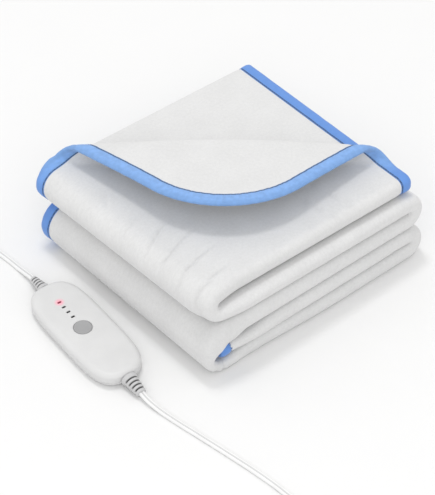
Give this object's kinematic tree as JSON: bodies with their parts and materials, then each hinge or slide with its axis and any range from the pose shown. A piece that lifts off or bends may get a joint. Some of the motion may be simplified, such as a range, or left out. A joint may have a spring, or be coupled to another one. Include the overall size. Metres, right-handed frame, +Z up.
{
  "type": "heated mattress topper",
  "caption": "Padded heated mattress topper with a bound edge, folded into a stack with its top corner turned over, with hand controller, topper lead and mains lead.",
  "frame": {"origin": "point on the flat underside of the folded cloth, under the middle of the stack, on the floor", "axes": "+X along the near right side of the stack toward the sheet's bound end, +Y along the near left side, beside the controller, +Z up"},
  "size_m": [0.4608, 0.6359, 0.1316],
  "materials": {
    "cloth": "white padded fleece, dull, fine short nap",
    "binding": "light blue woven edge tape with a stitched inner edge",
    "housing": "white moulded plastic, satin",
    "button": "grey soft plastic",
    "lamp_lit": "small window, lit red",
    "lamp": "small dark window",
    "relief": "grey ribbed soft plastic",
    "lead": "white flat twin cable sheath",
    "metal": "nickel-plated contact pins"
  },
  "bodies": {
    "root": {"panel": "cloth", "binding": "binding", "housing_lower": "housing", "housing_upper": "housing", "button": "button", "lamp_1": "lamp_lit", "lamp_2": "lamp", "lamp_3": "lamp", "lamp_4": "lamp", "relief_topper": "relief", "relief_mains": "relief", "lead_topper": "lead", "lead_mains": "lead", "coil_topper": "lead", "coil_mains": "lead", "tail_topper": "lead", "tail_mains": "lead", "connector": "housing", "plug": "housing", "pin_1": "metal", "pin_2": "metal"}
  },
  "joints": []
}
